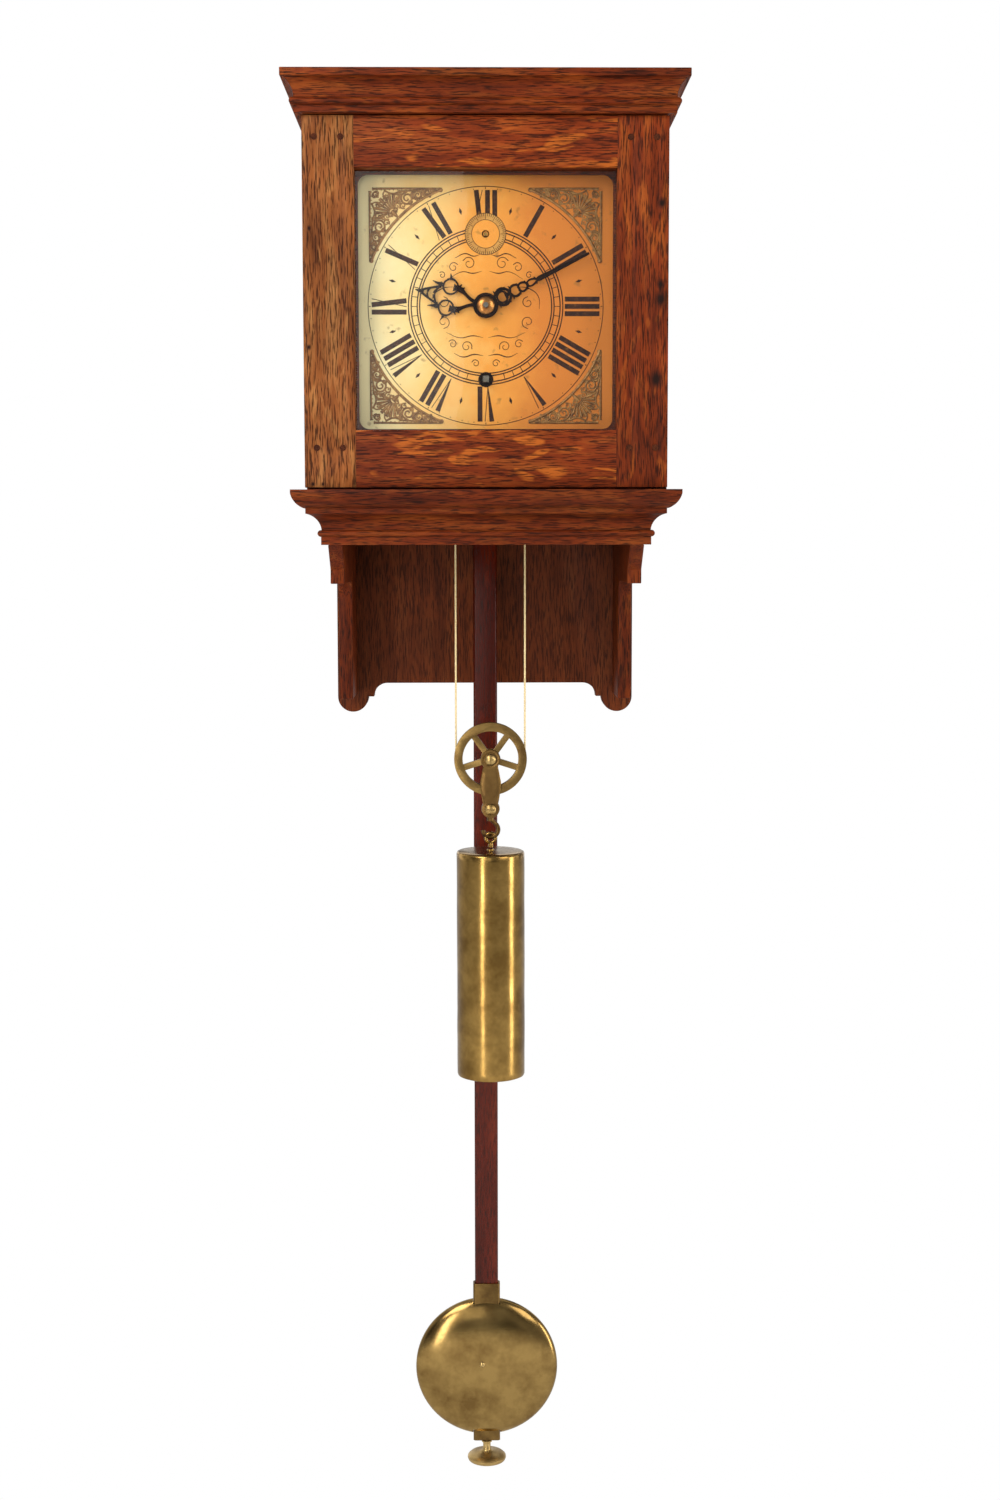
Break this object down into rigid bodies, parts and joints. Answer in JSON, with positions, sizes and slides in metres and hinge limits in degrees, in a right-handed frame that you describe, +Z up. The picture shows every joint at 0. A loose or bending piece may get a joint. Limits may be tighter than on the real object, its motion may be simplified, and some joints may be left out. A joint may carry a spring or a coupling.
{
  "type": "hooded wall clock",
  "caption": "Hooded oak wall clock on a bracketed shelf, with brass dial, pierced hands, glazed door, swinging pendulum and a pulley-hung cylindrical weight.",
  "frame": {"origin": "centre of the hanging hole, on the back face of the backboard at the wall", "axes": "+Z up, +Y into the wall, so the dial faces -Y; +X to the viewer's right"},
  "size_m": [0.31, 0.251, 1.1805],
  "materials": {
    "oak": "waxed",
    "peg_oak": "waxed",
    "dark_wood": "oiled",
    "brass": "aged",
    "dial_brass": "brushed",
    "blued_steel": "dark",
    "steel": "satin",
    "iron": "rough",
    "glass": "clear",
    "line": "twisted"
  },
  "bodies": {
    "case": {"backboard": "oak", "hanging_plate": "iron", "shelf_frame": "oak", "shelf_moulding_front": "oak", "shelf_moulding_returns": "oak", "bracket_left": "oak", "bracket_right": "oak", "seatboard_cheeks": "oak", "seatboard": "oak", "seatboard_bolts": "steel", "front_plate": "brass", "back_plate": "brass", "plate_pillars": "brass", "back_cock": "brass", "dial_plate": "dial_brass", "spandrels": "dial_brass", "line_fall_barrel": "line", "line_fall_fixed": "line"},
    "weight": {"pulley_stirrup": "brass", "pulley_axle": "steel", "weight_hook": "steel", "weight_shell": "brass", "weight_core": "iron", "line_wrap": "line"},
    "pulley": {"pulley_wheel": "brass"},
    "barrel": {"barrel": "brass", "barrel_arbor": "steel"},
    "great": {"great_wheel": "brass", "click_work": "steel"},
    "minute": {"centre_wheel": "brass", "cannon_wheel": "brass", "minute_hand": "blued_steel", "hand_collet": "brass"},
    "minute_pinion": {"minute_wheel": "brass"},
    "hour": {"hour_wheel": "brass", "hour_hand": "blued_steel"},
    "third": {"third_wheel": "brass"},
    "escape": {"escape_wheel": "brass"},
    "anchor": {"pallets": "steel", "crutch": "steel"},
    "pendulum": {"suspension_spring": "steel", "pendulum_rod": "dark_wood", "rating_screw": "steel"},
    "bob": {"bob": "brass", "bob_sleeve": "brass"},
    "nut": {"rating_nut": "brass"},
    "hood": {"hood_side_left": "oak", "hood_side_right": "oak", "hood_top": "oak", "cornice_front": "oak", "cornice_returns": "oak", "dial_mask": "oak", "door_pivots": "steel"},
    "door": {"door_stile_left": "oak", "door_stile_right": "oak", "door_rail_bottom": "oak", "door_rail_top": "oak", "door_pegs": "peg_oak", "door_glass": "glass", "glazing_beads": "oak"}
  },
  "joints": [
    {"name": "weight_drop", "type": "slide", "parent": "case", "child": "weight", "axis": [0, 0, 1], "range_m": [-1, 0.12], "deforming": ["line_fall_barrel", "line_fall_fixed"]},
    {"name": "barrel_turn", "type": "hinge", "parent": "case", "child": "barrel", "pos_m": [0, -0.1355, -0.1757], "axis": [0, 1, 0], "range_deg": [-4603, 553]},
    {"name": "pulley_spin", "type": "hinge", "parent": "weight", "child": "pulley", "pos_m": [0.0037, -0.1355, -0.4818], "axis": [0, 1, 0], "range_deg": [-2004, 241]},
    {"name": "minute_hand_turn", "type": "hinge", "parent": "case", "child": "minute", "pos_m": [0, -0.1355, -0.1192], "axis": [0, 1, 0], "continuous": true},
    {"name": "hour_hand_turn", "type": "hinge", "parent": "case", "child": "hour", "pos_m": [0, -0.1355, -0.1192], "axis": [0, 1, 0], "continuous": true},
    {"name": "minute_wheel_turn", "type": "hinge", "parent": "case", "child": "minute_pinion", "pos_m": [-0.0357, -0.1355, -0.1192], "axis": [0, 1, 0], "continuous": true},
    {"name": "great_wheel_turn", "type": "hinge", "parent": "case", "child": "great", "pos_m": [0, -0.1355, -0.1757], "axis": [0, 1, 0], "continuous": true},
    {"name": "third_wheel_turn", "type": "hinge", "parent": "case", "child": "third", "pos_m": [0.01494, -0.1355, -0.08844], "axis": [0, 1, 0], "continuous": true},
    {"name": "escape_wheel_turn", "type": "hinge", "parent": "case", "child": "escape", "pos_m": [0, -0.1355, -0.0637], "axis": [0, 1, 0], "continuous": true},
    {"name": "pendulum_swing", "type": "hinge", "parent": "case", "child": "pendulum", "pos_m": [0, -0.056, -0.03382], "axis": [0, 1, 0], "range_deg": [-2.5, 2.5]},
    {"name": "anchor_rock", "type": "hinge", "parent": "case", "child": "anchor", "pos_m": [0, -0.056, -0.03382], "axis": [0, 1, 0], "range_deg": [-2.5, 2.5]},
    {"name": "bob_slide", "type": "slide", "parent": "pendulum", "child": "bob", "axis": [0, 0, 1], "range_m": [-0.006, 0.006]},
    {"name": "rating_nut_turn", "type": "hinge", "parent": "bob", "child": "nut", "pos_m": [0, -0.056, -1.1195], "axis": [0, 0, 1], "range_deg": [-2200, 2200]},
    {"name": "hood_slide", "type": "slide", "parent": "case", "child": "hood", "axis": [0, -1, 0], "range_m": [0, 0.26]},
    {"name": "door_swing", "type": "hinge", "parent": "hood", "child": "door", "pos_m": [0.133, -0.227, -0.11], "axis": [0, 0, 1], "range_deg": [0, 110]}
  ],
  "couplings": [
    {"joint": "barrel_turn", "follows": "weight_drop", "rad_per_m": 80.321},
    {"joint": "pulley_spin", "follows": "weight_drop", "rad_per_m": 34.965},
    {"joint": "hour_hand_turn", "follows": "minute_hand_turn", "ratio": 0.083333},
    {"joint": "minute_wheel_turn", "follows": "minute_hand_turn", "ratio": -1},
    {"joint": "great_wheel_turn", "follows": "minute_hand_turn", "ratio": -0.083333},
    {"joint": "third_wheel_turn", "follows": "minute_hand_turn", "ratio": -8},
    {"joint": "escape_wheel_turn", "follows": "minute_hand_turn", "ratio": 60},
    {"joint": "anchor_rock", "follows": "pendulum_swing", "ratio": 1},
    {"joint": "rating_nut_turn", "follows": "bob_slide", "rad_per_m": 6283.2}
  ]
}
